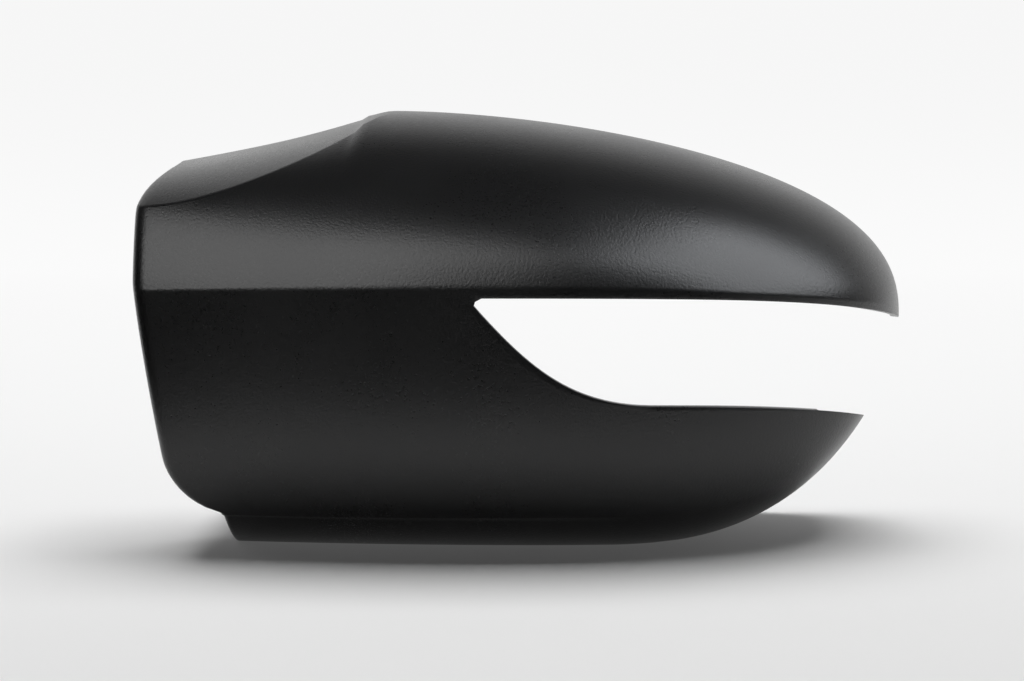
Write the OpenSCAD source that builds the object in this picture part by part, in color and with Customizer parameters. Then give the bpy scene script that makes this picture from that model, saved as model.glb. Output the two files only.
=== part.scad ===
// Wing mirror cover, left hand: one moulded shell with a slot for an indicator lamp.
// Units are millimetres. X points outboard, away from the car; Y points rearwards,
// out of the open side; Z points up. The origin is the centre of the bounding box
// in plan, on the plane that the flat underside stands on.

/* [Overall] */
// Length of the cover from its inboard edge to its outboard tip
cover_width = 230; // [212:1:248]
// Height from the flat underside to the crest
cover_height = 125.5; // [118:0.1:133]
// Depth from the rim plane to the front of the shell
cover_depth = 90; // [82:1:100]
// Thickness of the moulded wall
wall = 2.5; // [2:0.1:3]

/* [Front outline] */
// Height of the outboard tip above the underside
tip_height = 62.7; // [59:0.1:67]
// Distance of the crest from the inboard edge, where the top line starts to fall
crest_x = 74; // [73:1:80]
// Distance from the inboard edge at which the shell is deepest
front_x = 100; // [92:1:110]
// How far the front sweeps back at the inboard edge
sweep_in = 14; // [9:0.5:19]
// Distance from the inboard edge at which the underside starts to rise
floor_x = 135; // [125:1:145]

/* [Ridge and lower face] */
// Height of the ridge that divides the upper face from the lower one
ridge_height = 80; // [76:0.1:84]
// How far the ridge dips towards the inboard edge
ridge_dip = 2.2; // [1:0.1:3.4]
// Angle turned by the upper face between the rim and the ridge
ridge_turn = 80; // [76:0.5:84]
// Fullness of the lower face; a greater number gives a squarer section
lower_fullness = 4.6; // [4:0.1:5.4]
// Depth trimmed from the belly of the lower face to make the underside flat
flat_cut = 3; // [2:0.1:4]

/* [Scoop over the inboard end] */
// Height of the crease at the inboard edge
crease_height = 100.8; // [98:0.1:104]
// Distance from the inboard edge at which the crease runs out
crease_run = 72; // [68:0.5:73]
// Height of the scoop's rear edge at the inboard end
scoop_height = 110; // [108.5:0.1:111.5]
// Rise of the scoop's rear edge for each millimetre outboard
scoop_slope = 0.213; // [0.195:0.003:0.225]

/* [Inboard edge and step] */
// Radius of the lower inboard corner seen from the front
corner_radius = 17; // [13:0.5:20]
// How far the inboard edge leans outboard above that corner
edge_lean = 13.5; // [9:0.5:17]
// Height of the step under the lower inboard corner
step_height = 11.7; // [9:0.1:14]
// Inboard limit of the low band under the step
step_x = 24.8; // [22:0.1:27]
// Depth of the step between the face and the low band, at the inboard end
step_depth = 5; // [3:0.5:7]

/* [Lamp slot] */
// Distance of the slot's pointed inner end from the inboard edge
slot_x = 99; // [94:0.5:103]
// Drop from the ridge to the slot's upper edge
slot_drop = 3.1; // [2.4:0.1:4.2]
// Height of the slot's lower edge where it levels out
slot_low = 45.9; // [42.5:0.1:49.5]
// Tilt of the slot, which drops towards the rear
slot_tilt = 8; // [6:0.5:10]

/* [Arm opening] */
// Height of the opening for the mirror arm, in the inboard wall
arm_opening_height = 44; // [36:1:50]
// Depth of that opening, measured forwards from the rim
arm_opening_depth = 44; // [34:1:52]

/* [Ribs, posts and hooks] */
// Thickness of a stiffening rib
rib_thickness = 1.6; // [1.2:0.1:2]
// Height of a stiffening rib above the inside of the wall
rib_height = 5; // [3:0.5:7]
// Diameter of a screw post
post_diameter = 8; // [7:0.2:9]
// Diameter of the pilot bore in a screw post
pilot_diameter = 3.2; // [2.4:0.1:4]
// Depth of the pilot bore
pilot_depth = 16; // [12:1:20]
// Distance of the posts' free ends in front of the rim plane
post_setback = 34; // [28:1:40]
// Width of a snap hook, along the rim
hook_width = 8; // [6:0.5:9]

/* [Hidden] */
$fn = 32;
tip_end = 0.985;
blend_x = crest_x - 8;
blend_run = 12;
kick_x = crest_x - 24;
kick_run = 24;
scoop_bow = 2.2;
crease_min = 8;
edge_r = 4;
shoulder_lean = 3.4;
shoulder_drop = 4;
shoulder_span = 10;
step_run = 150;
step_fade = 60;
step_gap = 0.004;
band_taper = 0.23;
wall_slant = 6;
warp_reach = 80;
tip_lip = 1.6;
slot_curve = 51;
slot_pull_low = 28;
slot_pull_high = 16;
slot_pull_z = 18;
slot_corner = 2.2;
slot_fall = 4.6;
slot_pivot = 60;
arm_sill = 3;
arm_corner = 8;
arm_reach = step_x + wall + wall_slant + 0.5;
rib_places = [0.28, 0.5, 0.72];
rib_clear = 3;
post_clear = 2;
post_gap = 100;
post_heights = [45, 32];
top_hooks = [102, 150];
low_hooks = [60, 112];
hook_setback = 5;
hook_reach = 20;
hook_arm = 2;
hook_gap = 3.5;
hook_barb = 1.7;
hook_root = 0.4;
low_v = (ridge_height - step_height) / (ridge_height + flat_cut);
rows_ramp = 6;
rows_upper = 8;
face_steps = [0.1, 0.3, 0.5, 0.65, 0.76, 0.83, 0.885, 0.93, 0.96, 0.98, 0.993, 1];
band_steps = [0, 0.12, 0.26, 0.42, 0.58, 0.72, 0.86, 1];
row_ridge = rows_ramp + rows_upper;
row_step = row_ridge + len(face_steps);
row_last = row_step + len(band_steps);
row_flat = row_last - 3;
n_near = [0, 0.6, 2, 4, 8, 13, 19, 26, 33, 40, 47, 54, 61, 68, 74, 79];
n_far = [for (i = [1 : 27]) i / 27];
stations = concat(
    [for (x = n_near) x * crest_x / 80],
    [for (t = n_far) crest_x + (cover_width * tip_end - crest_x) * (1 - pow(1 - t, 1.6))]);
n_st = len(stations);
wall_cols = row_last - row_flat;

// Outlines of the outer form; w insets them for the inside of the wall
function frac(x, x0, x1) = min(max((x - x0) / (x1 - x0), 0), 1);
function depth_at(x, w) = x < front_x
    ? cover_depth - w - sweep_in * pow((front_x - x) / front_x, 2)
    : (cover_depth - w) * sqrt(1 - pow(frac(x, front_x, cover_width - w), 2.4));
function top_at(x, w) = tip_height
    + (cover_height - w - tip_height) * pow(1 - pow(frac(x, crest_x, cover_width - w), 1.7), 0.42);
function floor_at(x, w) = tip_height
    - (tip_height + flat_cut - w) * pow(1 - pow(frac(x, floor_x, cover_width - w), 2.7), 0.72);
function ridge_at(x, w) = tip_height
    + (ridge_height - tip_height) * sqrt(1 - pow(frac(x, front_x, cover_width - w), 2.2))
    - ridge_dip * pow(max(0, 1 - x / front_x), 2);

// Inboard edge as a function of height: leaning edge, round corner, low band
function lean_at(z) = edge_lean * pow(max(ridge_height - z, 0) / ridge_height, 1.2);
function round_at(z) = let (k = (step_height + corner_radius - z) / corner_radius)
    k <= 0 ? 0 : corner_radius * (1 - sqrt(1 - pow(min(k, 1), 2)));
function edge_at(z) = z < step_height
    ? step_x + band_taper * (step_height - z)
    : min(lean_at(z) + round_at(z), step_x)
        + shoulder_lean * pow(max(z - crease_height + shoulder_drop, 0) / shoulder_span, 3);
function warp(xs) = pow(1 - min(xs / warp_reach, 1), 2);

// Upper face: an elliptical section from the rim to the ridge
function upper_a(x, w) = depth_at(x, w) / sin(ridge_turn);
function upper_b(x, w) = (top_at(x, w) - ridge_at(x, w)) / (1 - cos(ridge_turn));
function crease_z(x, w) = let (t = min(x / crease_run, 1))
    crease_height - w + (cover_height - crease_height) * t * t * (2 - t);
function crease_angle(x, w) = max(crease_min,
    acos(max(-1, min(1, 1 - (top_at(x, w) - crease_z(x, w)) / upper_b(x, w)))));
function upper_pt(x, a, w) = [-upper_a(x, w) * sin(a),
    top_at(x, w) - upper_b(x, w) * (1 - cos(a))];
function ease(t) = let (c = min(max(t, 0), 1)) c * c * (3 - 2 * c);
function rim_z(x, w) = min(top_at(x, w), scoop_height - w + scoop_slope * x
    + (cover_height - scoop_height - scoop_slope * (crest_x - 1)) * ease((x - kick_x) / kick_run));
function ramp_pt(x, t, w) = let (
    a = crease_angle(x, w), c = upper_pt(x, a, w), r = upper_pt(x, a * t, w),
    m = ease((x - blend_x) / blend_run))
    [c[0] * t, rim_z(x, w) + (c[1] - rim_z(x, w)) * pow(t, scoop_bow)] * (1 - m) + r * m;

// Lower face: a squarish section from the ridge to the underside, with a low step
function lower_c(v) = pow(1 - pow(v, lower_fullness), 1 / lower_fullness);
function step_in(x) = step_depth * pow(1 - min(x / step_run, 1), 1.2);
function lower_pt(x, v, w) = let (r = ridge_at(x, w), f = floor_at(x, w))
    [-depth_at(x, w) * lower_c(v), max(w, r - (r - f) * v)];
function band_v(t) = let (b0 = asin(pow(low_v, lower_fullness / 2)), b = b0 + (90 - b0) * t)
    pow(sin(b), 2 / lower_fullness);
function band_pt(x, t, w) = let (q = lower_pt(x, min(band_v(t) + step_gap, 1), w), s = step_in(x))
    t == 1 ? [0, q[1]] : [q[0] + s * min(1, -q[0] / step_fade), q[1]];

function row_pt(x, j, w) = j <= rows_ramp ? ramp_pt(x, j / rows_ramp, w)
    : j <= row_ridge ? let (a = crease_angle(x, w))
        upper_pt(x, a + (ridge_turn - a) * (j - rows_ramp) / rows_upper, w)
    : j <= row_step ? lower_pt(x, low_v * face_steps[j - row_ridge - 1], w)
    : band_pt(x, band_steps[j - row_step - 1], w);

// The front inboard edge is rounded in plan over the first stations
function edge_round(xs) = xs >= edge_r ? 0 : edge_r - sqrt(pow(edge_r, 2) - pow(edge_r - xs, 2));
function grid_pt(i, j, w) = let (
    xs = stations[i] * (cover_width - w) / cover_width,
    q0 = row_pt(xs, j, w),
    x = xs + (edge_at(q0[1]) + w) * warp(xs),
    q = row_pt(max(x, xs), j, w),
    k = 1 - edge_round(stations[i]) / cover_depth)
    [x, q[0] * k, xs < 60 && j <= row_ridge ? q0[1] : q[1]];

function sk(w) = let (
    g = [for (i = [0 : n_st - 1]) for (j = [0 : row_last]) grid_pt(i, j, w)],
    wl = [for (k = [1 : wall_cols]) for (j = [1 : row_flat - 1]) let (
        p = g[j], f = g[row_flat + k][1] / g[row_flat][1])
        [p[0] + wall_slant * min(1, p[2] / step_height) * (1 - f) * -p[1] / cover_depth, p[1] * f, p[2]]])
    concat(g, [[cover_width - w, 0, tip_height]], wl);
tip_i = n_st * (row_last + 1);
skin_n = tip_i + 1 + wall_cols * (row_flat - 1);
function gi(i, j) = i * (row_last + 1) + j;
function wi(k, j) = k == 0 ? gi(0, j) : j == 0 ? gi(0, 0) : j == row_flat ? gi(0, row_flat + k)
    : tip_i + 1 + (k - 1) * (row_flat - 1) + (j - 1);

skin_faces = concat(
    [for (i = [0 : n_st - 2]) for (j = [0 : row_last - 1]) for (t = [0, 1])
        t == 0 ? [gi(i, j), gi(i + 1, j), gi(i + 1, j + 1)]
               : [gi(i, j), gi(i + 1, j + 1), gi(i, j + 1)]],
    [for (j = [0 : row_last - 1]) [gi(n_st - 1, j), tip_i, gi(n_st - 1, j + 1)]],
    [for (k = [0 : wall_cols - 1]) for (j = [0 : row_flat - 1]) for (t = [0, 1])
        if (j > 0 || t == 1)
        t == 0 ? [wi(k, j), wi(k, j + 1), wi(k + 1, j)]
               : [wi(k, j + 1), wi(k + 1, j + 1), wi(k + 1, j)]]);
rim_loop = concat(
    [for (i = [0 : n_st - 1]) gi(i, 0)], [tip_i],
    [for (i = [0 : n_st - 1]) gi(n_st - 1 - i, row_last)],
    [for (j = [1 : row_flat - 1]) wi(wall_cols, row_flat - j)]);
rim_n = len(rim_loop);

// The bare shell as one closed skin: outside, inside and the flat rim between them
module shell() {
    rim_faces = [for (r = [0 : rim_n - 1]) for (t = [0, 1]) let (
        a = rim_loop[r], b = rim_loop[(r + 1) % rim_n])
        t == 0 ? [a, a + skin_n, b] : [b, a + skin_n, b + skin_n]];
    polyhedron(
        points = concat(sk(0), sk(wall)),
        faces = concat(skin_faces,
            [for (f = skin_faces) [f[0] + skin_n, f[2] + skin_n, f[1] + skin_n]],
            rim_faces));
}

// Section of the form at one station, as a plane outline in Y and Z
function outline(x, w) = [for (j = [0 : row_last]) row_pt(x, j, w)];

module across(x0, thick) {
    translate([x0 - thick / 2, 0, 0]) rotate([90, 0, 90]) linear_extrude(thick) children();
}

// A rib that follows the inside of the wall from the top rim to the underside
module rib(x) {
    across(x, rib_thickness) difference() {
        polygon(outline(x, wall / 2));
        polygon(concat([[1, top_at(x, wall + rib_height)]], outline(x, wall + rib_height),
            [[1, wall + rib_height]]));
        translate([-3, -5]) square([10, cover_height + 10]);
    }
}

// A screw post that stands rearwards from the lower face
module post(x, z) {
    front = depth_at(x, wall / 2) * lower_c((ridge_height - z) / (ridge_height + flat_cut));
    translate([x, -post_setback, z]) rotate([90, 0, 0])
        cylinder(d = post_diameter, h = front - post_setback);
}
module pilot(x, z) {
    translate([x, -post_setback + 1, z]) rotate([90, 0, 0])
        cylinder(d = pilot_diameter, h = pilot_depth + 1);
}

// A snap hook; up is 1 under the top wall and -1 on the underside
module hook(x, z, up) {
    y0 = -hook_setback;
    y1 = y0 - hook_reach;
    low = -hook_gap - hook_arm;
    across(x, hook_width) translate([0, z]) scale([1, up]) polygon([
        [y1, -hook_root], [y1 + wall, 2 * hook_root], [y1 + wall, -hook_gap], [y0, -hook_gap],
        [y0, low + 0.5], [y0 - 4, low - hook_barb], [y0 - 5, low - hook_barb], [y0 - 5, low], [y1, low]]);
}

// Outline of the lamp slot in X and Z, seen from the front; its top meets the rim below the tip
slot_end_drop = ridge_height - slot_drop - (tip_height - tip_lip + cover_depth * tan(slot_tilt));
function slot_top(x) = ridge_height - slot_drop
    - slot_end_drop * pow(frac(x, floor_x, cover_width), 4);
function slot_bottom(x) = slot_low
    - slot_fall * pow(frac(x, slot_x + slot_curve, cover_width), 3);
function bez(a, b, c, d, t) = pow(1 - t, 3) * a + 3 * t * pow(1 - t, 2) * b
    + 3 * t * t * (1 - t) * c + t * t * t * d;
module slot_cut(lift) {
    zt = ridge_height - slot_drop;
    translate([0, -cover_depth, slot_pivot]) rotate([-slot_tilt, 0, 0])
    translate([0, cover_depth + 30, lift - slot_pivot])
    rotate([90, 0, 0]) linear_extrude(cover_depth + 60) polygon(concat(
        [for (i = [0 : 14]) let (x = slot_x + slot_corner + (cover_width - slot_x - slot_corner) * i / 14)
            [x, slot_top(x)]],
        [[cover_width + 8, slot_top(cover_width)], [cover_width + 8, slot_bottom(cover_width)]],
        [for (i = [0 : 8]) let (x = cover_width - (cover_width - slot_x - slot_curve) * i / 8)
            [x, slot_bottom(x)]],
        [for (i = [1 : 13]) let (t = i / 14)
            [bez(slot_x + slot_curve, slot_x + slot_pull_low, slot_x + slot_pull_high, slot_x, t),
            bez(slot_low, slot_low + 0.4, zt - slot_corner - slot_pull_z, zt - slot_corner, t)]],
        [for (a = [0, 30, 60]) [slot_x + slot_corner * (1 - cos(a)), zt - slot_corner * (1 - sin(a))]]));
}

// Opening in the inboard wall through which the mirror arm passes
module arm_cut() {
    r = arm_corner;
    z0 = step_height + arm_sill;
    z1 = z0 + arm_opening_height;
    translate([-10, 0, 0]) rotate([90, 0, 90]) linear_extrude(10 + arm_reach) union() {
        for (z = [z0 + r, z1 - r]) translate([-arm_opening_depth + r, z]) circle(r);
        translate([-arm_opening_depth, z0 + r]) square([2 * r, arm_opening_height - 2 * r]);
        translate([-arm_opening_depth + r, z0]) square([arm_opening_depth, arm_opening_height]);
    }
}

// Plan position and height of the two screw posts
post_a = [arm_reach + post_clear + post_diameter / 2, post_heights[0]];
post_b = [post_a[0] + post_gap, post_heights[1]];
hook_y = hook_setback + hook_reach - wall / 2;

module mirror_cover() {
    color([0.03, 0.03, 0.032]) translate([-cover_width / 2, cover_depth / 2, 0])
    difference() {
        union() {
            shell();
            difference() {
                for (x = rib_places) rib(x * cover_width);
                slot_cut(-rib_clear);
                slot_cut(rib_clear);
            }
            post(post_a[0], post_a[1]);
            post(post_b[0], post_b[1]);
            for (x = top_hooks) hook(x, upper_pt(x, asin(hook_y / upper_a(x, 0)), 0)[1] - wall, 1);
            for (x = low_hooks) hook(x, wall, -1);
        }
        slot_cut(0);
        arm_cut();
        pilot(post_a[0], post_a[1]);
        pilot(post_b[0], post_b[1]);
    }
}

mirror_cover();
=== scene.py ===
# %% [markdown]
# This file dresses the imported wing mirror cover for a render. The cover is the moulded
# shell that clips over the front of a car's door mirror. We load the CAD model as a
# fixed frame, and build one smooth skin in the same place, because a curved plastic
# part looks right only when its faces are fine enough to carry a soft highlight.

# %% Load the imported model
from math import acos, asin, cos, degrees, pi, radians, sin, sqrt, tan

import bmesh
import bpy
from mathutils import Matrix, Vector


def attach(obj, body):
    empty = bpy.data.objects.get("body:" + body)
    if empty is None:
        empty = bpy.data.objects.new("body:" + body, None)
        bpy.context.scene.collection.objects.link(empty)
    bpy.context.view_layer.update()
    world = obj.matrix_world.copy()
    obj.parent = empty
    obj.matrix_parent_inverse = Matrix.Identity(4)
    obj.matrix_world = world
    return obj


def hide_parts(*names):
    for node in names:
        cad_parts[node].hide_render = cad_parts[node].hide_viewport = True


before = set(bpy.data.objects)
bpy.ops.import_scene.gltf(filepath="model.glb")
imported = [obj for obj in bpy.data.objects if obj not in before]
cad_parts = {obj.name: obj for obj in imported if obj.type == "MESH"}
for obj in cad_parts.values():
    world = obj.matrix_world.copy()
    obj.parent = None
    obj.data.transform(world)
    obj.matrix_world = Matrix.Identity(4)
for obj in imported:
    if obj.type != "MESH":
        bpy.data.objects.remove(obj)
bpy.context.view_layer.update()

# %% [markdown]
# The shell is worked out in millimetres. Their origin lies at the inboard end of the
# rear rim, level with the underside: x runs outboard, y runs rearwards, so that the
# front of the cover has negative y, and z runs up. The cover's sizes are those of the
# CAD source, each given where it is first needed. One function turns a place in working
# millimetres into metres in the frame.

# %% Working units
MM = 0.001
WIDTH, DEPTH, HEIGHT = 230.0, 90.0, 125.5
WALL = 2.5


def place(x, y, z):
    return Vector((x - WIDTH / 2, y + DEPTH / 2, z)) * MM


print("working box", WIDTH, DEPTH, HEIGHT, "mm")

# %% [markdown]
# A lofted body is described by a few outlines: how deep it is, how high its top, its
# ridge and its underside run at each distance from the inboard edge. Powers of a
# fraction between 0 and 1 make them: they start level and then turn in to the tip,
# as the edge of an egg does. Drawn splines would do as well, but powers need fewer
# numbers and can't ripple.

# %% Outlines along the cover
TIP_Z, RIDGE_Z, RIDGE_DIP, FLAT_CUT = 62.7, 80.0, 2.2, 3.0
CREST_X, FRONT_X, FLOOR_X, SWEEP_IN = 74.0, 100.0, 135.0, 14.0
FRONT_POWER, RIDGE_POWER = 2.4, 2.2
TOP_POWERS, FLOOR_POWERS = (1.7, 0.42), (2.7, 0.72)


def part_of(x, start, end):
    """How far x has come from start to end, held between 0 and 1."""
    return min(max((x - start) / (end - start), 0.0), 1.0)


def depth_at(x):
    if x < FRONT_X:
        return DEPTH - SWEEP_IN * ((FRONT_X - x) / FRONT_X) ** 2
    return DEPTH * sqrt(1 - part_of(x, FRONT_X, WIDTH) ** FRONT_POWER)


def top_at(x):
    fall = part_of(x, CREST_X, WIDTH) ** TOP_POWERS[0]
    return TIP_Z + (HEIGHT - TIP_Z) * (1 - fall) ** TOP_POWERS[1]


def floor_at(x):
    rise = part_of(x, FLOOR_X, WIDTH) ** FLOOR_POWERS[0]
    return TIP_Z - (TIP_Z + FLAT_CUT) * (1 - rise) ** FLOOR_POWERS[1]


def ridge_at(x):
    dip = RIDGE_DIP * max(0.0, 1 - x / FRONT_X) ** 2
    fall = part_of(x, FRONT_X, WIDTH) ** RIDGE_POWER
    return TIP_Z + (RIDGE_Z - TIP_Z) * sqrt(1 - fall) - dip


for station in (0, 74, 150, 220):
    print(station, "mm out: depth", round(depth_at(station), 1),
          "top", round(top_at(station), 1), "ridge", round(ridge_at(station), 1),
          "underside", round(max(floor_at(station), 0), 1))

# %% [markdown]
# The upper face is part of an ellipse from the rim down to the ridge. A section of it
# turns by RIDGE_TURN, a little less than a quarter, so that the ridge stays a line where
# two faces meet at an angle.

# %% The upper face
RIDGE_TURN = radians(80.0)


def upper_radii(x):
    """Half axes of the section's ellipse: front to back, and up and down."""
    rise = top_at(x) - ridge_at(x)
    return depth_at(x) / sin(RIDGE_TURN), rise / (1 - cos(RIDGE_TURN))


def upper_point(x, angle):
    a, b = upper_radii(x)
    return -a * sin(angle), top_at(x) - b * (1 - cos(angle))


print("ellipse at the crest", [round(v, 1) for v in upper_radii(CREST_X)], "mm")

# %% [markdown]
# Over the inboard end a scoop cuts the ellipse off: a nearly level surface that rises
# outboard, and meets the ellipse along a sharp crease. The crease is a row of its own in
# the mesh, so that it stays sharp. Towards the crest the scoop rises faster and blends
# into the ellipse. A ramp with a soft start and end does both.

# %% The scoop and its crease
CREASE_Z, CREASE_RUN, CREASE_LEAST = 100.8, 72.0, radians(8)
SCOOP_Z, SCOOP_SLOPE, SCOOP_BOW = 110.0, 0.213, 2.2
KICK_X, KICK_RUN = CREST_X - 24, 24
BLEND_X, BLEND_RUN = CREST_X - 8, 12
LEAST_RADIUS = 0.001


def smooth(t):
    """An ease from 0 to 1 that is level at both ends."""
    t = min(max(t, 0.0), 1.0)
    return t * t * (3 - 2 * t)


def crease_angle(x):
    t = min(x / CREASE_RUN, 1.0)
    height = CREASE_Z + (HEIGHT - CREASE_Z) * t * t * (2 - t)
    share = 1 - (top_at(x) - height) / max(upper_radii(x)[1], LEAST_RADIUS)
    return max(CREASE_LEAST, acos(max(-1.0, min(1.0, share))))


def scoop_rim(x):
    meet = HEIGHT - SCOOP_Z - SCOOP_SLOPE * (CREST_X - 1)
    kick = meet * smooth((x - KICK_X) / KICK_RUN)
    return min(top_at(x), SCOOP_Z + SCOOP_SLOPE * x + kick)


def scoop_point(x, t):
    angle = crease_angle(x)
    y, z = upper_point(x, angle)
    rim = scoop_rim(x)
    flat = y * t, rim + (z - rim) * t ** SCOOP_BOW
    full = upper_point(x, angle * t)
    mix = smooth((x - BLEND_X) / BLEND_RUN)
    return flat[0] + (full[0] - flat[0]) * mix, flat[1] + (full[1] - flat[1]) * mix


print("crease at", [round(degrees(crease_angle(x)), 1) for x in (0, 30, 60, 74)],
      "degrees round")

# %% [markdown]
# The lower face drops almost straight from the ridge, turns under in a full, squarish
# curve, and ends on the flat underside. Under the inboard corner a low band steps back
# from the face, and the step fades out along the cover and towards the rim. A fraction
# v runs down the face, from 0 at the ridge to 1 below the ground, where the curve would
# close if the flat didn't cut it.

# %% The lower face and its low band
FULLNESS = 4.6
STEP_Z, STEP_DEPTH, STEP_RUN, STEP_FADE, STEP_EASE = 11.7, 5.0, 150, 60, 1.2
V_STEP = (RIDGE_Z - STEP_Z) / (RIDGE_Z + FLAT_CUT)
V_FLAT = RIDGE_Z / (RIDGE_Z + FLAT_CUT)


def fullness(v):
    return (1 - min(max(v, 0.0), 1.0) ** FULLNESS) ** (1 / FULLNESS)


def lower_point(x, v):
    ridge = ridge_at(x)
    return -depth_at(x) * fullness(v), max(0.0, ridge - (ridge - floor_at(x)) * v)


def stepped(x, y):
    """A place below the step, moved back by what the step takes there."""
    step_in = STEP_DEPTH * (1 - min(x / STEP_RUN, 1.0)) ** STEP_EASE
    return y + step_in * min(1.0, -y / STEP_FADE)


print("step at", round(lower_point(30, V_STEP)[1], 1), "mm, flat from y =",
      round(lower_point(30, V_FLAT)[0], 1))

# %% [markdown]
# Seen from the front, the inboard edge leans in, goes round the lower corner and then
# drops down the side of the low band. It is one curve of height, and the columns of
# the mesh near it are pushed outboard to follow it. The other way would be to trim the
# mesh along the curve, but that would leave slivers along a line that catches light.

# %% The inboard edge
STEP_X, CORNER_R, EDGE_R = 24.8, 17.0, 4.0
EDGE_LEAN, EDGE_EASE, BAND_LEAN, BAND_GAP = 13.5, 1.2, 0.23, 0.2
SHOULDER_LEAN, SHOULDER_DROP, SHOULDER_SPAN = 3.4, 4, 10


def edge_at(z):
    if z < STEP_Z - BAND_GAP:
        return STEP_X + BAND_LEAN * (STEP_Z - z)
    lean = EDGE_LEAN * (max(RIDGE_Z - z, 0.0) / RIDGE_Z) ** EDGE_EASE
    k = min(max((STEP_Z + CORNER_R - z) / CORNER_R, 0.0), 1.0)
    corner = CORNER_R * (1 - sqrt(1 - k * k))
    above = max(z - CREASE_Z + SHOULDER_DROP, 0.0)
    return min(lean + corner, STEP_X) + SHOULDER_LEAN * (above / SHOULDER_SPAN) ** 3


def edge_round(x):
    return 0.0 if x >= EDGE_R else EDGE_R - sqrt(EDGE_R ** 2 - (EDGE_R - x) ** 2)


print("edge at", [(z, round(edge_at(z), 1)) for z in (100, 80, 40, 20, 12, 0)])

# %% [markdown]
# The slot for the indicator lamp is open at the outboard end. The mesh gets a row along
# each of its edges and one column along its inner end, so that the opening is made by
# deleting whole faces. A Boolean could cut it too, but would leave uneven faces along
# the lips. The upper edge drops towards the tip, and the lower one drops a little too.

# %% The lamp slot's edges
SLOT_X, SLOT_DROP, SLOT_LOW, SLOT_FALL, SLOT_TILT = 99.0, 3.1, 45.9, 4.6, radians(8)
TIP_LIP, SLOT_TOP_POWER, SLOT_LOW_POWER = 1.6, 4, 3
SLOT_TOP = RIDGE_Z - SLOT_DROP
SLOT_END = TIP_Z - TIP_LIP + DEPTH * tan(SLOT_TILT)
CURVE_X = SLOT_X + 51


def slot_top(x):
    fall = part_of(x, FLOOR_X, WIDTH) ** SLOT_TOP_POWER
    return SLOT_TOP - (SLOT_TOP - SLOT_END) * fall


def slot_bottom(x):
    return SLOT_LOW - SLOT_FALL * part_of(x, CURVE_X, WIDTH) ** SLOT_LOW_POWER


print("slot edges at 150 mm out", round(slot_top(150), 1), round(slot_bottom(150), 1))

# %% [markdown]
# The inner end is a Bezier curve that starts in a small round corner under the upper
# edge and runs out along the lower one. The rows of the mesh ask for it by height, and
# the curve knows only its own fraction, so we look for the fraction by halving.

# %% The slot's inner end
SLOT_CORNER, HALVINGS = 2.2, 30
PULL_LOW_X, PULL_HIGH_X, PULL_LOW_Z, PULL_HIGH_Z = SLOT_X + 28, SLOT_X + 16, 0.4, 20.1


def bezier(a, b, c, d, t):
    s = 1 - t
    return s ** 3 * a + 3 * t * s ** 2 * b + 3 * t * t * s * c + t ** 3 * d


def slot_inner(z):
    """Where the inner end is at height z; halving finds the fraction of the curve."""
    if z > SLOT_TOP - SLOT_CORNER:
        k = min((z - SLOT_TOP + SLOT_CORNER) / SLOT_CORNER, 1.0)
        return SLOT_X + SLOT_CORNER * (1 - sqrt(1 - k * k))
    heights = (SLOT_LOW, SLOT_LOW + PULL_LOW_Z, SLOT_TOP - PULL_HIGH_Z,
               SLOT_TOP - SLOT_CORNER)
    low, high = 0.0, 1.0
    for _ in range(HALVINGS):
        t = (low + high) / 2
        if bezier(*heights, t) < z:
            low = t
        else:
            high = t
    return bezier(CURVE_X, PULL_LOW_X, PULL_HIGH_X, SLOT_X, low)


print("slot inner end", [(z, round(slot_inner(z), 1)) for z in (76.9, 74.7, 60, 45.3)])

# %% [markdown]
# Both edges lie in surfaces that drop towards the rear, so that the thickness of the
# lips doesn't show from the front. The place where such a surface meets the curved face
# is found by trying: each round puts the height of the last one into the face.

# %% The tilt of the slot
PASSES, TINY = 12, 1e-6


def tilted(x, level):
    """Height at which the face meets a tilted plane that passes level at the front."""
    z = level
    ridge, floor = ridge_at(x), floor_at(x)
    for _ in range(PASSES):
        v = min(max((ridge - z) / max(ridge - floor, TINY), 0.0), 1.0)
        z = level - (DEPTH - depth_at(x) * fullness(v)) * tan(SLOT_TILT)
    return min(max(z, floor), ridge)


print("upper lip at 180 mm out", round(tilted(180, slot_top(180)), 1), "mm")

# %% [markdown]
# A grid is laid over the form like a sheet. Each row knows how far down the section it
# runs and each column how far along the cover. Rows crowd together beside the crease
# and the ridge, which keeps both lines crisp without a bevel.

# %% Rows of the skin
WALL_COLUMNS, SLOT_CROWD = 12, 2.2
rows = []


def add_rows(kind, steps):
    """Add rows of one kind at fractions of its stretch; give the last one's number."""
    rows.extend((kind, t) for t in steps)
    return len(rows) - 1


def evenly(n, first=0):
    return [i / n for i in range(first, n + 1)]


ROW_CREASE = add_rows("scoop", [0, 0.03, 0.1, 0.2, 0.3, 0.4, 0.5, 0.6, 0.7, 0.8, 0.88,
                                0.94, 0.975, 1])
ROW_RIDGE = add_rows("upper", [0.012, 0.03] + [0.06 + 0.9 * t for t in evenly(26)]
                     + [0.985, 1])
ROW_SLOT_TOP = add_rows("brow", [0.3, 0.65, 1])
ROW_SLOT_LOW = add_rows("slot", [0.03, 0.07]
                        + [0.07 + 0.93 * (1 - (1 - t) ** SLOT_CROWD)
                           for t in evenly(26, 1)])
add_rows("cheek", [0.03, 0.1] + [0.1 + 0.87 * t for t in evenly(18, 1)] + [0.985, 1])
ROW_FLAT = add_rows("band", [0, 0.1] + [0.1 + 0.9 * t for t in evenly(8, 1)])
add_rows("floor", evenly(WALL_COLUMNS, 1))
print(len(rows), "rows; ridge is row", ROW_RIDGE,
      "and the underside starts at row", ROW_FLAT)

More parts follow.
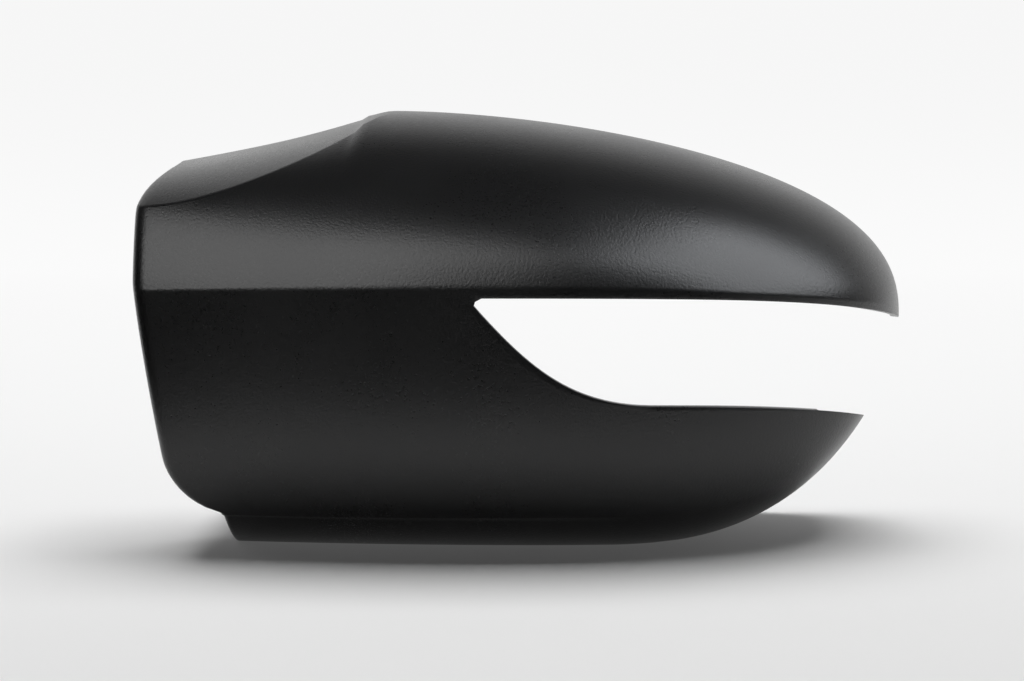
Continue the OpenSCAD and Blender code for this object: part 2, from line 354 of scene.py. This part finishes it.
# %% [markdown]
# Every row belongs to one stretch of the section: the scoop, the upper face, the brow
# between ridge and slot, the slot, the cheek below it, the low band, or the underside.
# One function gives the depth and the height of a row at any distance along the cover,
# so that the ribs can ask it later too.

# %% One place on the section
CHEEK_LEAST, CHEEK_EASE, STEP_GAP = 4.0, 0.9, 0.004


def section_point(x, kind, t):
    if kind == "scoop":
        return scoop_point(x, t)
    if kind == "upper":
        start = crease_angle(x)
        return upper_point(x, start + (RIDGE_TURN - start) * t)
    ridge, floor = ridge_at(x), floor_at(x)
    span = max(ridge - floor, TINY)
    step = ridge - span * V_STEP
    top = tilted(x, slot_top(x))
    low = max(tilted(x, slot_bottom(x)), step + CHEEK_LEAST)
    if kind == "brow":
        return lower_point(x, (ridge - (ridge + (top - ridge) * t)) / span)
    if kind == "slot":
        return lower_point(x, (ridge - (top + (low - top) * t)) / span)
    if kind == "cheek":
        return lower_point(x, (ridge - (low + (step - low) * t ** CHEEK_EASE)) / span)
    if kind == "band":
        y, z = lower_point(x, V_STEP + STEP_GAP + (V_FLAT - V_STEP - STEP_GAP) * t)
        return stepped(x, y), z
    y = lower_point(x, V_FLAT)[0] * (1 - t)
    v = max(0.0, 1 - (-y / max(depth_at(x), TINY)) ** FULLNESS) ** (1 / FULLNESS)
    return stepped(x, y), lower_point(x, v)[1]


print("ridge at 100 mm out", [round(v, 1) for v in section_point(100, "upper", 1)])

# %% [markdown]
# Columns run from the inboard edge to the tip. One of them follows the inner end of the
# slot, and the others share the room on both sides of it. They crowd towards the
# inboard edge and towards the tip, where the form turns fastest.

# %% Columns of the skin
INNER_COLUMNS, OUTER_COLUMNS = 46, 64
COLUMNS = INNER_COLUMNS + OUTER_COLUMNS
INNER_CROWD, OUTER_CROWD = 1.45, 1.5
BAND_END = 118.0


def inner_end(kind, t):
    """Distance along the cover of the column that bounds the slot, on one row."""
    if kind == "slot":
        return slot_inner(SLOT_TOP + (SLOT_LOW - SLOT_TOP) * t)
    if kind == "cheek":
        return CURVE_X + (BAND_END - CURVE_X) * smooth(t)
    return BAND_END if kind in ("band", "floor") else SLOT_X + SLOT_CORNER


def column_x(i, kind, t):
    end = inner_end(kind, t)
    if i <= INNER_COLUMNS:
        return end * (i / INNER_COLUMNS) ** INNER_CROWD
    s = (i - INNER_COLUMNS) / OUTER_COLUMNS
    return end + (WIDTH - end) * (1 - (1 - s) ** OUTER_CROWD)


print(COLUMNS, "columns; the slot starts at column", INNER_COLUMNS)

# %% [markdown]
# Now a row and a column give one place on the skin. Near the inboard edge the place is
# pushed outboard by the edge's curve, and the front edge gets a small round. The
# inboard wall carries the same rows on towards the rim, and leans outboard a little on
# the way, so that it hides behind its front edge. Rows of the upper face keep their
# height near that edge, so that the push doesn't bend the crease.

# %% Places on the face and on the inboard wall
EDGE_RUN, STEP_PROUD, UPRIGHT_TO = 80, 0.05, 60
WALL_LEAN, LEAN_FADE = 6.0, 20 ** 2


def skin_point(i, j):
    kind, t = rows[j]
    if i == COLUMNS:
        return WIDTH, 0.0, skin_point(COLUMNS - 1, j)[2]
    x0 = column_x(i, kind, t)
    z0 = section_point(x0, kind, t)[1]
    edge = STEP_X + STEP_PROUD if kind == "band" and t == 0 else edge_at(z0)
    x = x0 + edge * (1 - min(x0 / EDGE_RUN, 1.0)) ** 2
    y, z = section_point(x, kind, t)
    if kind in ("scoop", "upper") and x0 < UPRIGHT_TO:
        z = z0
    return x, y * (1 - edge_round(x0) / DEPTH), z


def wall_point(k, j):
    """Inboard wall: k columns back from the front edge towards the rim."""
    if j >= ROW_FLAT:
        return skin_point(0, max(j, ROW_FLAT + k))
    x, y, z = skin_point(0, j)
    share = 1 - k / WALL_COLUMNS
    lean = WALL_LEAN * min(1.0, z / STEP_Z) * min(1.0, y * y / LEAN_FADE)
    if j < ROW_CREASE:
        top, low = skin_point(0, 0)[2], skin_point(0, ROW_CREASE)[2]
        z += (top + (low - top) * rows[j][1] - z) * (1 - share)
    return x + lean * (1 - share) * -y / DEPTH, y * share, z


print("corner of the skin", [round(v, 1) for v in skin_point(0, ROW_RIDGE)])

# %% [markdown]
# A flat grid of the right count is made first, and each of its vertices is then moved
# to its place on the form, so that the faces come out as neat quads. The faces between
# the slot's edges are deleted. So is the last bit of the lower face beyond LIP_END,
# where the rows below the slot would run into the brow above it.

# %% Lay the grid over the form
LIP_END = 226
GRID_X, GRID_Y = COLUMNS + WALL_COLUMNS, len(rows) - 1
shell = bmesh.new()
bmesh.ops.create_grid(shell, x_segments=GRID_X, y_segments=GRID_Y, size=0.5)
slot_verts, end_verts = set(), set()
for vertex in shell.verts:
    column = round((vertex.co.x + 0.5) * GRID_X) - WALL_COLUMNS
    row = round((vertex.co.y + 0.5) * GRID_Y)
    if column >= INNER_COLUMNS and ROW_SLOT_TOP <= row <= ROW_SLOT_LOW:
        slot_verts.add(vertex)
    point = skin_point(column, row) if column >= 0 else wall_point(-column, row)
    vertex.co = place(*point)
    if row >= ROW_SLOT_LOW and vertex.co.x > place(LIP_END, 0, 0).x:
        end_verts.add(vertex)
open_faces = [f for f in shell.faces
              if slot_verts.issuperset(f.verts) or end_verts.issuperset(f.verts)]
bmesh.ops.delete(shell, geom=open_faces, context="FACES")
print(len(shell.faces), "faces after the slot is opened")

# %% [markdown]
# Towards the outboard end the rows run together. Vertices that nearly touch there are
# merged, so that the wall doesn't turn inside out when it gets its thickness. The
# nearer the end, the wider the gap that is closed.

# %% Merge what nearly touches
MERGE, LIP_MERGE, TIP_MERGE = 1e-5, 6e-5, 1.2e-4
LIP_FROM, LIP_BELOW = place(212, 0, 0).x, place(0, 0, TIP_Z - 12).z
TIP_FROM, TIP_ABOVE = place(222, 0, 0).x, place(0, 0, TIP_Z - 2).z
bmesh.ops.remove_doubles(shell, verts=shell.verts, dist=MERGE)
lip_end = [v for v in shell.verts if v.co.x > LIP_FROM and v.co.z < LIP_BELOW]
bmesh.ops.remove_doubles(shell, verts=lip_end, dist=LIP_MERGE)
tip = [v for v in shell.verts if v.co.x > TIP_FROM and v.co.z > TIP_ABOVE]
bmesh.ops.remove_doubles(shell, verts=tip, dist=TIP_MERGE)
bmesh.ops.dissolve_degenerate(shell, edges=shell.edges, dist=MERGE)
loose = [v for v in shell.verts if not v.link_faces]
bmesh.ops.delete(shell, geom=loose, context="VERTS")
print(len(shell.faces), "faces in the skin")

# %% [markdown]
# So far the skin has no thickness. The outside must face outwards first, so the normals
# are recalculated and checked against a face at the front. A Solidify modifier then
# adds the inside of the moulded wall and closes the rims.

# %% Give the wall its thickness
bmesh.ops.recalc_face_normals(shell, faces=shell.faces)
front_face = min(shell.faces, key=lambda f: f.calc_center_median().y)
if front_face.normal.y > 0:
    bmesh.ops.reverse_faces(shell, faces=shell.faces)
mesh = bpy.data.meshes.new("cover_moulding")
shell.to_mesh(mesh)
shell.free()
cover = bpy.data.objects.new("cover_moulding", mesh)
bpy.context.scene.collection.objects.link(cover)
thick = cover.modifiers.new("wall", "SOLIDIFY")
thick.thickness, thick.offset = WALL * MM, -1.0
thick.use_even_offset = False
print("skin has", len(mesh.polygons), "faces before it is thickened")

# %% [markdown]
# The mirror's arm passes through an opening in the inboard wall. It is the first body
# of the cutter: a box with two rounded front corners, which reaches out past the wall
# and past the rim.

# %% Cutter for the arm opening
ARM_LOW, ARM_HIGH, ARM_DEEP, ARM_REACH, ARM_CORNER = 14.7, 44.0, 44.0, 33.8, 8.0
PAST_WALL, PAST_RIM, CORNER_STEPS = 10, 8, 10
LONG_EDGE = 0.01
cutter_bm = bmesh.new()
bmesh.ops.create_cube(cutter_bm, size=1.0)
low = place(-PAST_WALL, -ARM_DEEP, ARM_LOW)
high = place(ARM_REACH, PAST_RIM, ARM_LOW + ARM_HIGH)
for vertex in cutter_bm.verts:
    vertex.co = Vector([high[i] if vertex.co[i] > 0 else low[i] for i in range(3)])
middle_y = (low.y + high.y) / 2
front_edges = [e for e in cutter_bm.edges if all(v.co.y < middle_y for v in e.verts)
               and abs(e.verts[0].co.x - e.verts[1].co.x) > LONG_EDGE]
bmesh.ops.bevel(cutter_bm, geom=front_edges, offset=ARM_CORNER * MM, offset_type="OFFSET",
                affect="EDGES", segments=CORNER_STEPS, profile=0.5, clamp_overlap=True,
                material=-1)
print(len(cutter_bm.faces), "faces in the arm's cutter")

# %% [markdown]
# At the outboard end of the slot no row can follow the lower edge, which runs out at
# the underside. A second body of the cutter, a prism between the slot's two tilted
# planes, trims both lips there. It stays a hair away from both planes, so that it
# never shaves the lips that are in place already.

# %% Cutter for the slot's outboard end
TRIM_FROM, TRIM_STEP, TRIM_STEPS, TRIM_GAP, TRIM_PAST = 200, 3, 11, 0.02, 5
PAST_TIP = 8


def push(bm, faces, by):
    """Faces grow into a solid: a copy of them moves by a vector, and sides follow."""
    grown = bmesh.ops.extrude_face_region(bm, geom=faces)["geom"]
    moved = [g for g in grown if isinstance(g, bmesh.types.BMVert)]
    bmesh.ops.translate(bm, verts=moved, vec=by)


stations = [TRIM_FROM + TRIM_STEP * i for i in range(TRIM_STEPS)] + [WIDTH + PAST_TIP]
prism = [(x, slot_bottom(x) + TRIM_GAP) for x in stations]
prism += [(x, slot_top(x) - TRIM_GAP) for x in reversed(stations)]
ahead = TRIM_PAST * tan(SLOT_TILT)
corners = [cutter_bm.verts.new(place(x, -DEPTH - TRIM_PAST, z + ahead)) for x, z in prism]
prism_face = cutter_bm.faces.new(corners)
along_tilt = Vector((0, 1, -tan(SLOT_TILT)))
push(cutter_bm, [prism_face], along_tilt * (DEPTH + 2 * TRIM_PAST) * MM)
bmesh.ops.recalc_face_normals(cutter_bm, faces=cutter_bm.faces)
cutter_mesh = bpy.data.meshes.new("cutter")
cutter_bm.to_mesh(cutter_mesh)
cutter_bm.free()
cutter = bpy.data.objects.new("cutter", cutter_mesh)
bpy.context.scene.collection.objects.link(cutter)
print(len(cutter_mesh.polygons), "faces in the whole cutter")

# %% [markdown]
# A Boolean takes the cutter out of the thickened wall, and a Bevel modifier then rounds
# every edge that turns hard, since a moulded rim is never knife sharp. It comes last,
# so that the cut edges get the same round. Its clamp is off, because the finest edges
# near the tip would shrink every round to almost nothing. The ridge and the crease
# turn less than its limit, so they stay. The result of all three modifiers is taken as
# the mesh, so that none of them stays behind.

# %% Cut the wall and round its rims
RIM_ROUND, ROUND_FROM = 0.2, radians(60)
cut = cover.modifiers.new("openings", "BOOLEAN")
cut.operation, cut.solver, cut.object = "DIFFERENCE", "EXACT", cutter
rounded = cover.modifiers.new("rim", "BEVEL")
rounded.width, rounded.segments = RIM_ROUND * MM, 2
rounded.limit_method, rounded.angle_limit = "ANGLE", ROUND_FROM
rounded.use_clamp_overlap = False
bpy.context.view_layer.update()
finished = cover.evaluated_get(bpy.context.evaluated_depsgraph_get())
cut_mesh = bpy.data.meshes.new_from_object(finished)
cover.modifiers.clear()
cover.data = cut_mesh
bpy.data.objects.remove(cutter)
print(len(cut_mesh.polygons), "faces after the cuts and the rounds")

# %% [markdown]
# Behind the skin are the parts of the moulding that nobody sees from the front: three
# ribs, two screw posts with pilot bores, and four snap hooks. They are built in one
# mesh that is then added to the shell, since the cover is one moulding. A rib follows
# the section from the middle of the wall inwards, and stops short of the slot. It
# starts a little in front of the rim.

# %% Ribs inside the wall
RIB_THICK, RIB_HIGH, RIB_BEFORE_RIM = 1.6, 5.0, 3.0
RIB_PLACES = [(64.4, 60.0, 60.0), (115.0, 54.0, 79.0), (165.6, 41.0, 79.0)]
inside = bmesh.new()


def inset(x, point, w):
    """A point of the section, drawn in by w towards the middle of the section."""
    high = top_at(x)
    return point[0] * (1 - w / depth_at(x)), w + point[1] * (1 - 2 * w / high)


def add_rib(x, points):
    """A strip that stands on the inside of the wall along some points of the section."""
    last = len(points) - 1
    made = bmesh.ops.create_grid(inside, x_segments=1, y_segments=last, size=0.5)["verts"]
    for vertex in made:
        point = points[round((vertex.co.y + 0.5) * last)]
        y, z = inset(x, point, WALL / 2 if vertex.co.x < 0 else WALL + RIB_HIGH)
        vertex.co = place(x - RIB_THICK / 2, y, z)
    strip = list({f for v in made for f in v.link_faces})
    push(inside, strip, (RIB_THICK * MM, 0, 0))


for x, gap_low, gap_high in RIB_PLACES:
    section = [section_point(x, kind, t) for kind, t in rows]
    section = [p for p in section if p[0] < -RIB_BEFORE_RIM]
    add_rib(x, [p for p in section if p[1] > gap_high])
    add_rib(x, [p for p in section if p[1] <= gap_low])
print(len(inside.faces), "faces in the ribs")

# %% [markdown]
# The screws that hold the cover go into two posts. Each is turned: its profile, with
# the pilot bore and two small chamfers, is spun once about its own axis. Its front end
# is buried in the wall.

# %% Screw posts with pilot bores
POST_R, PILOT_R, PILOT_DEEP, POST_SETBACK = 4.0, 1.6, 16.0, 34.0
POST_CHAMFER, POST_SIDES, SAME_POINT = 0.3, 40, 1e-6
POST_PLACES = [(39.8, 45.0), (139.8, 32.0)]


def add_post(x, z):
    v = (RIDGE_Z - z) / (RIDGE_Z + FLAT_CUT)
    front = -depth_at(x) * fullness(v) + WALL / 2
    back, end = -POST_SETBACK, -POST_SETBACK - PILOT_DEEP
    profile = [(0, front), (POST_R, front), (POST_R, back - POST_CHAMFER),
               (POST_R - POST_CHAMFER, back), (PILOT_R + POST_CHAMFER, back),
               (PILOT_R, back - POST_CHAMFER), (PILOT_R, end), (0, end)]
    made = [inside.verts.new(place(x + radius, y, z)) for radius, y in profile]
    edges = [inside.edges.new(pair) for pair in zip(made, made[1:])]
    bmesh.ops.spin(inside, geom=made + edges, cent=place(x, 0, z), axis=(0, 1, 0),
                   angle=2 * pi, steps=POST_SIDES, use_merge=True, use_duplicate=False)


for x, z in POST_PLACES:
    add_post(x, z)
bmesh.ops.remove_doubles(inside, verts=inside.verts, dist=SAME_POINT)
print(len(inside.faces), "faces with the posts")

# %% [markdown]
# The snap hooks catch the mirror's housing along its top and its underside. A hook is
# a profile, seen from the side, that is pushed sideways to its width. Its foot lies in
# the wall, so an upper hook takes its height from the section where its foot is.

# %% Snap hooks
HOOK_WIDE, TOP_HOOKS, LOW_HOOKS = 8.0, (102.0, 150.0), (60.0, 112.0)
FOOT_AT = 23.5
HOOK_PROFILE = [(-25, -0.4), (-22.5, 0.8), (-22.5, -3.5), (-5, -3.5), (-5, -5), (-9, -7.2),
                (-10, -7.2), (-10, -5.5), (-25, -5.5)]


def add_hook(x, z, up):
    made = [inside.verts.new(place(x - HOOK_WIDE / 2, y, z + up * h))
            for y, h in HOOK_PROFILE]
    push(inside, [inside.faces.new(made)], (HOOK_WIDE * MM, 0, 0))


for x in TOP_HOOKS:
    add_hook(x, upper_point(x, asin(FOOT_AT / upper_radii(x)[0]))[1] - WALL, 1)
for x in LOW_HOOKS:
    add_hook(x, WALL, -1)
bmesh.ops.recalc_face_normals(inside, faces=inside.faces)
print(len(inside.faces), "faces with the hooks")

# %% [markdown]
# Both meshes go into one object. Nothing may stand out behind the rim's plane. The
# Boolean and the rounds leave a few vertices on the same spot, a few edges without a
# face and a hole of one small triangle, which are merged, deleted and filled.

# %% Join the moulding
TOUCHING = 4e-6
whole = bmesh.new()
whole.from_mesh(cut_mesh)
inside_mesh = bpy.data.meshes.new("inside")
inside.to_mesh(inside_mesh)
inside.free()
whole.from_mesh(inside_mesh)
bpy.data.meshes.remove(inside_mesh)
rim_plane = place(0, 0, 0).y
for vertex in whole.verts:
    vertex.co.y = min(vertex.co.y, rim_plane)
bmesh.ops.remove_doubles(whole, verts=whole.verts, dist=TOUCHING)
bmesh.ops.dissolve_degenerate(whole, edges=whole.edges, dist=TOUCHING)
bare_edges = [e for e in whole.edges if not e.link_faces]
bmesh.ops.delete(whole, geom=bare_edges, context="EDGES")
hole_edges = [e for e in whole.edges if len(e.link_faces) == 1]
bmesh.ops.holes_fill(whole, edges=hole_edges, sides=0)
print(len(bare_edges), "bare edges deleted and", len(hole_edges), "edges round holes;",
      sum(1 for e in whole.edges if len(e.link_faces) != 2), "don't join just two faces")

# %% [markdown]
# Faces are smooth, and only edges that turn by more than about 50 degrees stay sharp,
# so the creases keep a soft highlight of their own. At the rear rim a Weighted Normal
# modifier lets the large faces lead, which keeps the rim flat between its two rounds.

# %% Smooth the moulding
SHARP_FROM = radians(50)
for face in whole.faces:
    face.smooth = True
whole.to_mesh(cut_mesh)
whole.free()
cut_mesh.set_sharp_from_angle(angle=SHARP_FROM)
rim_line = rim_plane - 2 * RIM_ROUND * MM
rim = [v.index for v in cut_mesh.vertices if v.co.y > rim_line]
cover.vertex_groups.new(name="rear_rim").add(rim, 1.0, "REPLACE")
flat_rim = cover.modifiers.new("even_rim", "WEIGHTED_NORMAL")
flat_rim.mode, flat_rim.weight, flat_rim.keep_sharp = "FACE_AREA", 50, True
flat_rim.vertex_group = "rear_rim"
print(len(cut_mesh.polygons), "faces in the cover,", len(rim), "vertices at its rear rim")

# %% [markdown]
# The cover is grained black plastic. Shader maths reads badly as nodes, so one small
# class wraps a socket and lets plain operators add the Math nodes, and one method adds
# any other node with its settings and inputs.

# %% A small language for shaders


class Signal:
    def __init__(self, graph, socket):
        self.graph, self.socket = graph, socket

    def math(self, operation, *values):
        inputs = dict(enumerate(values))
        return self.graph.add("ShaderNodeMath", inputs, operation=operation)

    def __add__(self, other):
        return self.math("ADD", self, other)

    def __sub__(self, other):
        return self.math("SUBTRACT", self, other)

    def __rsub__(self, other):
        return self.math("SUBTRACT", other, self)

    def __mul__(self, other):
        return self.math("MULTIPLY", self, other)

    def over(self, level):
        return self.math("MAXIMUM", self, level)

    def under(self, level):
        return self.math("MINIMUM", self, level)

    __radd__, __rmul__ = __add__, __mul__


class Graph:
    def __init__(self, tree):
        self.tree = tree
        tree.nodes.clear()

    def add(self, kind, inputs=None, out=0, **settings):
        node = self.tree.nodes.new(kind)
        for name, value in settings.items():
            setattr(node, name, value)
        for key, value in (inputs or {}).items():
            if isinstance(value, Signal):
                self.tree.links.new(value.socket, node.inputs[key])
            else:
                node.inputs[key].default_value = value
        return Signal(self, node.outputs[out]) if node.outputs else None


print("shader classes ready")

# %% [markdown]
# The plastic is nearly black and half matt. A fine noise with a period of about 0.8 mm
# is its grain, and a wide noise of about 40 mm keeps the large faces from looking even.
# Both change the roughness a little. An image of a grain would need an unwrapped
# surface, while a noise in the object's own coordinates needs none.

# %% Grain and mottle of the plastic
GRAIN_SCALE, MOTTLE_SCALE = 1300.0, 26.0
MIDDLE_ROUGHNESS, GRAIN_SHARE, MOTTLE_SHARE = 0.30, 0.14, 0.10
plastic = bpy.data.materials.new("black_plastic")
plastic.use_nodes = True
g = Graph(plastic.node_tree)
where = g.add("ShaderNodeTexCoord", out="Object")
grain = g.add("ShaderNodeTexNoise",
              {"Vector": where, "Scale": GRAIN_SCALE, "Detail": 2.0, "Roughness": 0.6})
mottle = g.add("ShaderNodeTexNoise",
               {"Vector": where, "Scale": MOTTLE_SCALE, "Detail": 2.0, "Roughness": 0.5})
roughness = MIDDLE_ROUGHNESS + (grain - 0.5) * GRAIN_SHARE + (mottle - 0.5) * MOTTLE_SHARE
print("grain of", round(1 / GRAIN_SCALE / MM, 2), "mm, mottle of",
      round(1 / MOTTLE_SCALE / MM), "mm")

# %% [markdown]
# The mottle also mixes two blacks that lie close together, the grain becomes a bump, and
# a Principled shader takes it all. The bump is weak, so that the grain shows only where
# a highlight breaks up on it.

# %% Black grained plastic
DARK_BLACK, LIGHT_BLACK = (0.0036, 0.0036, 0.0038, 1), (0.0064, 0.0064, 0.0068, 1)
BUMP_STRENGTH, BUMP_DISTANCE, PLASTIC_IOR = 0.24, 0.0003, 1.52
MIX_FACTOR, MIX_A, MIX_B, MIX_RESULT = 0, 6, 7, 2
colour = g.add("ShaderNodeMix", {MIX_FACTOR: mottle, MIX_A: DARK_BLACK, MIX_B: LIGHT_BLACK},
               out=MIX_RESULT, data_type="RGBA")
bump = g.add("ShaderNodeBump",
             {"Height": grain, "Strength": BUMP_STRENGTH, "Distance": BUMP_DISTANCE})
surface = g.add("ShaderNodeBsdfPrincipled", {"Base Color": colour, "Roughness": roughness,
                                             "Normal": bump, "IOR": PLASTIC_IOR})
g.add("ShaderNodeOutputMaterial", {"Surface": surface})
cover.data.materials.clear()
cover.data.materials.append(plastic)
print("plastic has", len(plastic.node_tree.nodes), "nodes")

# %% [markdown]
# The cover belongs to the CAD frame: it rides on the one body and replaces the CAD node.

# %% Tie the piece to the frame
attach(cover, "root")
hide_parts("mirror_cover")
print("cover tied to the frame")

# %% [markdown]
# The floor is one pale sheet of paper. It ends 20 cm in front of the cover, out of the
# camera's view, because in the photograph the lower face reflects the near table and
# then the unlit room. Its left edge slants like the side of the camera's view, and
# stays just out of the picture.

# %% Sheet of paper
PAPER_FRONT, PAPER_BACK, PAPER_BELOW = -0.245, 8.0, -0.0002
PAPER_LEFT_FRONT, PAPER_LEFT_BACK, PAPER_RIGHT = -0.19, -1.7, 4.0
floor_bm = bmesh.new()
bmesh.ops.create_grid(floor_bm, x_segments=1, y_segments=1, size=0.5)
for vertex in floor_bm.verts:
    left_edge = PAPER_LEFT_FRONT if vertex.co.y < 0 else PAPER_LEFT_BACK
    vertex.co.x = left_edge if vertex.co.x < 0 else PAPER_RIGHT
    vertex.co.y = PAPER_FRONT if vertex.co.y < 0 else PAPER_BACK
    vertex.co.z = PAPER_BELOW
floor_mesh = bpy.data.meshes.new("floor")
floor_bm.to_mesh(floor_mesh)
floor_bm.free()
floor = bpy.data.objects.new("floor", floor_mesh)
bpy.context.scene.collection.objects.link(floor)
print("paper from", PAPER_FRONT, "to", PAPER_BACK, "m")

# %% [markdown]
# Away from the cover the paper also glows a little, a painted light that rises with the
# distance along the sheet and stands in for a lit backdrop, while near the cover it only
# takes light and shadow. So its material goes over from a matt white to a painted glow
# with the distance along the sheet.

# %% Pale floor
GLOW_RISE, GLOW_START, GLOW_MOST = 1.1, 0.09, 0.95
PAPER_WHITE, PAPER_GLOW = 0.80, 0.97
paper = bpy.data.materials.new("paper")
paper.use_nodes = True
g = Graph(paper.node_tree)
place_on_floor = g.add("ShaderNodeTexCoord", out="Object")
along = g.add("ShaderNodeSeparateXYZ", {"Vector": place_on_floor}, out="Y")
# painted light: the share of glow grows with the distance along the sheet
far = (along * GLOW_RISE + GLOW_START).over(0.0).under(GLOW_MOST)
lit = g.add("ShaderNodeBsdfDiffuse", {"Color": (PAPER_WHITE, PAPER_WHITE, PAPER_WHITE, 1)})
glow = g.add("ShaderNodeEmission", {"Color": (1, 1, 1, 1), "Strength": PAPER_GLOW})
seen = g.add("ShaderNodeMixShader", {0: far, 1: lit, 2: glow})
g.add("ShaderNodeOutputMaterial", {"Surface": seen})
floor_mesh.materials.append(paper)
print("floor laid")

# %% [markdown]
# A glossy black part shows its surroundings rather than its own colour. In the
# photograph the room is dark in front and overhead, and pale low down behind. So the
# world is split by direction: each part of a direction goes through a clipped straight
# line, and their product is how bright the room is there. The camera itself sees an even
# backdrop instead.

# %% World
BEHIND_RISE, BEHIND_START, OUTBOARD_LOSS = 2.5, 0.75, 0.35
LOW_START, LOW_FALL, LOW_LEAST = 1.5, 2.2, 0.03
ROOM_LEAST, ROOM_GAIN, BACKDROP = 0.02, 0.96, 0.93
world = bpy.data.worlds.new("studio")
bpy.context.scene.world = world
world.use_nodes = True
g = Graph(world.node_tree)
way = g.add("ShaderNodeTexCoord", out="Generated")
rearwards = g.add("ShaderNodeSeparateXYZ", {"Vector": way}, out="Y")
upwards = g.add("ShaderNodeSeparateXYZ", {"Vector": way}, out="Z")
outboard = g.add("ShaderNodeSeparateXYZ", {"Vector": way}, out="X").over(0.0)
behind = (rearwards * BEHIND_RISE - BEHIND_START).over(0.0).under(1.0)
behind = behind * (1.0 - outboard * OUTBOARD_LOSS)
low_down = (LOW_START - upwards * LOW_FALL).over(LOW_LEAST).under(1.0)
level = ROOM_LEAST + behind * low_down * ROOM_GAIN
tint = g.add("ShaderNodeBackground", {"Color": (1, 1, 1, 1), "Strength": level})
plain = g.add("ShaderNodeBackground", {"Color": (1, 1, 1, 1), "Strength": BACKDROP})
is_camera = g.add("ShaderNodeLightPath", out="Is Camera Ray")
sky = g.add("ShaderNodeMixShader", {0: is_camera, 1: tint, 2: plain})
g.add("ShaderNodeOutputWorld", {"Surface": sky})
print("world has", len(world.node_tree.nodes), "nodes")

# %% [markdown]
# One broad soft light stands on each side, an area lamp that shows only in reflections,
# as a pale card would. A third lamp above and behind lights the paper and draws the soft
# shadow in front of the cover; the cover doesn't mirror it. A lamp is placed by two
# angles round the cover, because it is moved that way in a studio too, and its strength
# is given as the brightness of its face, which stays when its size changes.

# %% Lamps
MIDDLE = Vector((0.0, 0.0, 0.06))


def turn_to(thing, at, target):
    """Puts a lamp or a camera in one place and turns it to look at another."""
    turn = (target - at).to_track_quat("-Z", "Y").to_matrix().to_4x4()
    thing.matrix_world = Matrix.Translation(at) @ turn


def lamp(name, azimuth, elevation, distance, size, radiance, colour=(1, 1, 1), card=True):
    """A lamp aimed at the cover; azimuth 0 is the camera's side, +90 the outboard end."""
    a, e = radians(azimuth), radians(elevation)
    at = MIDDLE + Vector((sin(a) * cos(e), -cos(a) * cos(e), sin(e))) * distance
    data = bpy.data.lights.new(name, "AREA")
    data.shape, data.size, data.size_y = "RECTANGLE", size[0], size[1]
    data.energy, data.color = radiance * pi * size[0] * size[1], colour
    light = bpy.data.objects.new(name, data)
    turn_to(light, at, MIDDLE)
    light.visible_glossy, light.visible_diffuse = card, not card
    bpy.context.scene.collection.objects.link(light)
    print(name, "at", [round(v, 2) for v in at], round(data.energy, 1), "W")


lamp("left_box", -34, 42, 1.6, (1.45, 1.75), 2.6)
lamp("right_box", 80, 43, 1.5, (1.55, 1.45), 3.7, (0.94, 0.965, 1.0))
lamp("rear_fill", 180, 74, 1.6, (1.6, 1.2), 5.6, card=False)

# %% [markdown]
# The camera stands a metre away, seven degrees above the horizon and square to the
# front, with the lens that gives the photograph's size of the cover in the frame.

# %% Camera
AIM = Vector((-0.0051, 0.005, 0.0588))
CAMERA_UP, CAMERA_AWAY = radians(7.0), 1.0
SENSOR, LENS = 36.0, 117.2
data = bpy.data.cameras.new("camera")
data.sensor_width, data.lens = SENSOR, LENS
camera = bpy.data.objects.new("camera", data)
at = AIM + Vector((0, -cos(CAMERA_UP), sin(CAMERA_UP))) * CAMERA_AWAY
turn_to(camera, at, AIM)
bpy.context.scene.collection.objects.link(camera)
bpy.context.scene.camera = camera
bpy.context.scene.view_settings.view_transform = "Standard"
print("camera at", [round(v, 3) for v in at])
